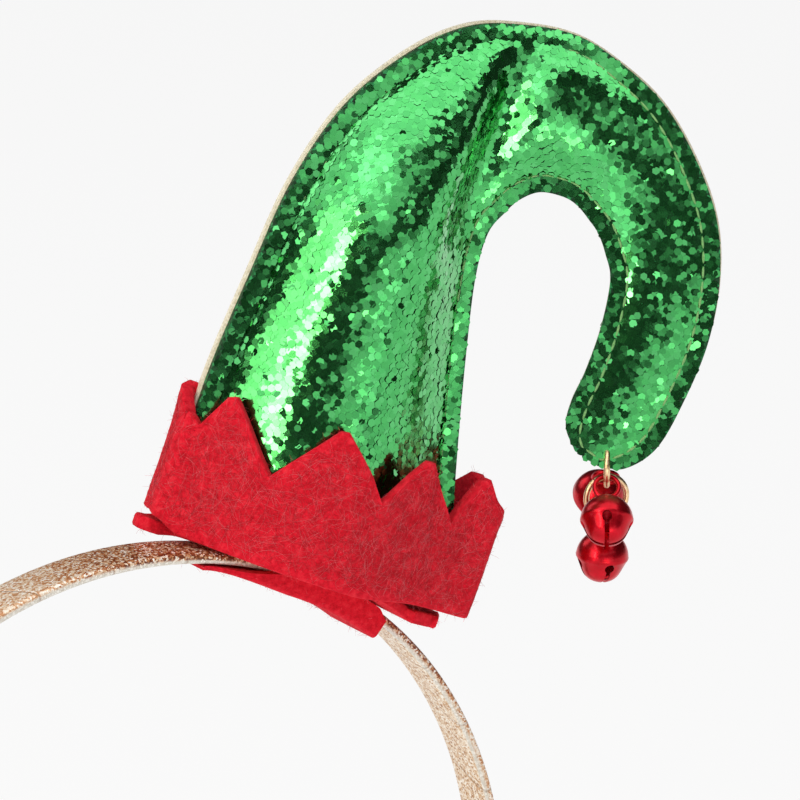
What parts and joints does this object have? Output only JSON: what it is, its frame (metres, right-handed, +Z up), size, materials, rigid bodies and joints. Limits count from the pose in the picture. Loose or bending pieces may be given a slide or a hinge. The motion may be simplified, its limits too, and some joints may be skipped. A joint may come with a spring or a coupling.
{
  "type": "elf hat headband",
  "caption": "Springy headband carrying a small stuffed glitter elf hat with a hooked tip, a zigzag felt cuff and a swinging cluster of small red bells.",
  "frame": {"origin": "middle of the band's inner face at its crown, where the band sits on top of a head", "axes": "+Z up through the crown of the head, +X across the head towards the side that carries the hat, +Y from the front of the hat to its back"},
  "size_m": [0.1569, 0.0435, 0.1971],
  "materials": {
    "ribbon": "rose gold glitter ribbon wrapped on a plastic strip",
    "felt": "red pressed felt with loose fibres",
    "glitter_fabric": "green hexagonal glitter flakes on a cream woven backing",
    "gold_wire": "polished gold plating",
    "red_metal": "red metallic lacquer"
  },
  "bodies": {
    "headband": {"band": "ribbon", "under_patch": "felt", "base_felt": "felt", "cuff": "felt", "hat_front": "glitter_fabric", "hat_back": "glitter_fabric"},
    "drop": {"tip_ring": "gold_wire", "bell_ring": "gold_wire", "bell_1": "red_metal", "bell_2": "red_metal", "bell_3": "red_metal"}
  },
  "joints": [
    {"name": "drop_swing", "type": "hinge", "parent": "headband", "child": "drop", "pos_m": [0.07335, -0.01864, 0.01059], "axis": [0.5561, 0.8311, 0], "range_deg": [-30, 30]}
  ]
}
